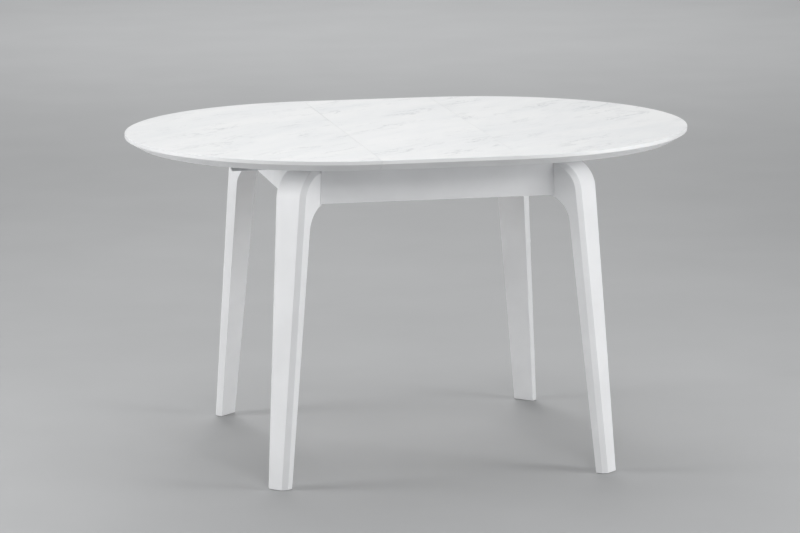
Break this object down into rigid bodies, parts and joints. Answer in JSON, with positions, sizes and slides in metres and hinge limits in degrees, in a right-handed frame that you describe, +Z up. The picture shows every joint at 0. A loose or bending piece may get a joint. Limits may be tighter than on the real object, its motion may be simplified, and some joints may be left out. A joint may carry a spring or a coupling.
{
  "type": "extending round dining table",
  "caption": "Round table that pulls apart on slides to take a centre leaf, shown extended: marble-look top with undercut edge on a white base with splayed diagonal legs",
  "frame": {"origin": "on the floor under the middle of the top", "axes": "+X along the pull-out direction (the long side), -Y is the front, +Z up"},
  "size_m": [1.312, 1, 0.75],
  "materials": {
    "white_marble_laminate": "white marble-pattern laminate with fine grey veins over fibreboard, satin",
    "white_satin_lacquer": "white satin lacquer over solid wood",
    "pale_beech": "bare pale hardwood",
    "anodised_aluminium": "satin anodised extrusion",
    "zinc_plated_steel": "zinc plated",
    "black_nylon": "moulded, matt",
    "grey_felt": "pressed felt"
  },
  "bodies": {
    "base": {"leg_front_left": "white_satin_lacquer", "corner_block_front_left": "pale_beech", "corner_bolt_lower_front_left": "zinc_plated_steel", "corner_bolt_upper_front_left": "zinc_plated_steel", "foot_glide_front_left": "grey_felt", "leg_front_right": "white_satin_lacquer", "corner_block_front_right": "pale_beech", "corner_bolt_lower_front_right": "zinc_plated_steel", "corner_bolt_upper_front_right": "zinc_plated_steel", "foot_glide_front_right": "grey_felt", "leg_back_left": "white_satin_lacquer", "corner_block_back_left": "pale_beech", "corner_bolt_lower_back_left": "zinc_plated_steel", "corner_bolt_upper_back_left": "zinc_plated_steel", "foot_glide_back_left": "grey_felt", "leg_back_right": "white_satin_lacquer", "corner_block_back_right": "pale_beech", "corner_bolt_lower_back_right": "zinc_plated_steel", "corner_bolt_upper_back_right": "zinc_plated_steel", "foot_glide_back_right": "grey_felt", "apron_front": "white_satin_lacquer", "apron_back": "white_satin_lacquer", "apron_left": "white_satin_lacquer", "apron_right": "white_satin_lacquer", "cross_rail_left": "pale_beech", "cross_rail_right": "pale_beech", "track_left_front": "anodised_aluminium", "track_screw_left_front_1": "zinc_plated_steel", "track_screw_left_front_2": "zinc_plated_steel", "track_left_back": "anodised_aluminium", "track_screw_left_back_1": "zinc_plated_steel", "track_screw_left_back_2": "zinc_plated_steel", "track_right_front": "anodised_aluminium", "track_screw_right_front_1": "zinc_plated_steel", "track_screw_right_front_2": "zinc_plated_steel", "track_right_back": "anodised_aluminium", "track_screw_right_back_1": "zinc_plated_steel", "track_screw_right_back_2": "zinc_plated_steel", "gear_tray": "zinc_plated_steel", "pinion_axle": "zinc_plated_steel"},
    "half_left": {"top_half_left": "white_marble_laminate", "runner_left_front": "anodised_aluminium", "runner_screw_left_front": "zinc_plated_steel", "support_plate_left_front": "zinc_plated_steel", "runner_left_back": "anodised_aluminium", "runner_screw_left_back": "zinc_plated_steel", "support_plate_left_back": "zinc_plated_steel", "rack_left": "black_nylon"},
    "half_right": {"top_half_right": "white_marble_laminate", "runner_right_front": "anodised_aluminium", "runner_screw_right_front": "zinc_plated_steel", "support_plate_right_front": "zinc_plated_steel", "runner_right_back": "anodised_aluminium", "runner_screw_right_back": "zinc_plated_steel", "support_plate_right_back": "zinc_plated_steel", "rack_right": "black_nylon"},
    "pinion": {"pinion": "black_nylon"},
    "leaf": {"top_leaf": "white_marble_laminate", "leaf_locator_front": "pale_beech", "leaf_locator_back": "pale_beech"}
  },
  "joints": [
    {"name": "left_slide", "type": "slide", "parent": "base", "child": "half_left", "axis": [-1, 0, 0], "range_m": [0, 0.02]},
    {"name": "right_slide", "type": "slide", "parent": "base", "child": "half_right", "axis": [1, 0, 0], "range_m": [0, 0.02]},
    {"name": "pinion_spin", "type": "hinge", "parent": "base", "child": "pinion", "pos_m": [0, 0, 0.69], "axis": [0, 0, 1], "range_deg": [0, 64]},
    {"name": "leaf_lift", "type": "slide", "parent": "base", "child": "leaf", "axis": [0, 0, 1], "range_m": [0, 0.25]}
  ],
  "couplings": [
    {"joint": "right_slide", "follows": "left_slide", "ratio": 1},
    {"joint": "pinion_spin", "follows": "left_slide", "rad_per_m": 55.556}
  ]
}
